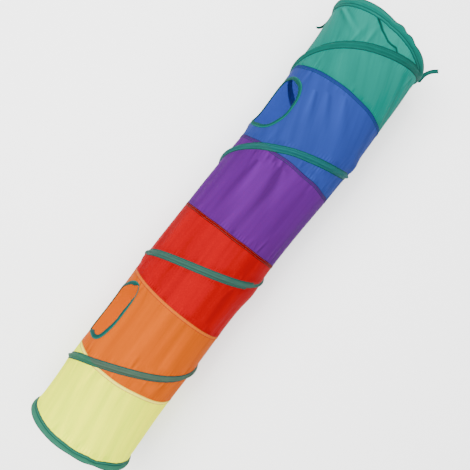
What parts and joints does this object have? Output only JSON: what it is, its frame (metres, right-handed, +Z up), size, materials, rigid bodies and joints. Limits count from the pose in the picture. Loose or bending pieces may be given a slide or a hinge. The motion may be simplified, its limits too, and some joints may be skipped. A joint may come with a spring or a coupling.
{
  "type": "cat tunnel",
  "caption": "Pop-up fabric cat tunnel in coloured panels, held open by one helical spring wire in a sewn casing, with side holes and ribbon ties.",
  "frame": {"origin": "centre of the footprint, on the floor", "axes": "+X along the tunnel from its yellow end to its green end, +Y to the side that its two side holes face, +Z up"},
  "size_m": [1.2046, 0.3044, 0.2656],
  "materials": {
    "yellow": "thin glossy nylon",
    "orange": "thin glossy nylon",
    "red": "thin glossy nylon",
    "purple": "thin glossy nylon",
    "blue": "thin glossy nylon",
    "green": "thin glossy nylon",
    "tape": "matt woven tape",
    "ribbon": "matt woven ribbon",
    "spring_steel": "bright drawn wire",
    "crimp_steel": "zinc plated"
  },
  "bodies": {
    "yellow_end": {"end_binding_yellow": "tape", "panel_yellow": "yellow", "casing_tape_yellow": "tape", "spring_wire": "spring_steel", "wire_ferrule_yellow": "crimp_steel"},
    "orange_section": {"panel_orange": "orange", "casing_tape_orange": "tape", "hole_binding_orange": "tape"},
    "red_section": {"panel_red": "red", "casing_tape_red": "tape"},
    "purple_section": {"panel_purple": "purple", "casing_tape_purple": "tape"},
    "blue_section": {"panel_blue": "blue", "casing_tape_blue": "tape", "hole_binding_blue": "tape"},
    "green_end": {"end_binding_green": "tape", "panel_green": "green", "casing_tape_green": "tape", "wire_ferrule_green": "crimp_steel"},
    "front_tie": {"tie_front": "ribbon"},
    "back_tie": {"tie_back": "ribbon"}
  },
  "joints": [
    {"name": "tunnel_collapse", "type": "slide", "parent": "yellow_end", "child": "green_end", "axis": [-1, 0, 0], "range_m": [0, 1.096], "stiffness_N_per_m": 12, "springref_m": -0.3, "deforming": ["panel_yellow", "casing_tape_yellow", "spring_wire", "panel_green", "casing_tape_green"]},
    {"name": "orange_gather", "type": "slide", "parent": "yellow_end", "child": "orange_section", "axis": [-1, 0, 0], "range_m": [0, 0.2658], "deforming": ["panel_orange", "casing_tape_orange", "hole_binding_orange"]},
    {"name": "red_gather", "type": "slide", "parent": "yellow_end", "child": "red_section", "axis": [-1, 0, 0], "range_m": [0, 0.459], "deforming": ["panel_red", "casing_tape_red"]},
    {"name": "purple_gather", "type": "slide", "parent": "yellow_end", "child": "purple_section", "axis": [-1, 0, 0], "range_m": [0, 0.6532], "deforming": ["panel_purple", "casing_tape_purple"]},
    {"name": "blue_gather", "type": "slide", "parent": "yellow_end", "child": "blue_section", "axis": [-1, 0, 0], "range_m": [0, 0.8464], "deforming": ["panel_blue", "casing_tape_blue", "hole_binding_blue"]},
    {"name": "front_tie_swing", "type": "hinge", "parent": "green_end", "child": "front_tie", "pos_m": [0.5484, -0.1239, 0.1328], "axis": [1, 0, 0], "range_deg": [-80, 80]},
    {"name": "back_tie_swing", "type": "hinge", "parent": "green_end", "child": "back_tie", "pos_m": [0.5668, 0.1351, 0.0872], "axis": [0, -0.342, -0.9397], "range_deg": [0, 80]}
  ],
  "couplings": [
    {"joint": "orange_gather", "follows": "tunnel_collapse", "ratio": 0.24245},
    {"joint": "red_gather", "follows": "tunnel_collapse", "ratio": 0.41874},
    {"joint": "purple_gather", "follows": "tunnel_collapse", "ratio": 0.59591},
    {"joint": "blue_gather", "follows": "tunnel_collapse", "ratio": 0.7722}
  ]
}
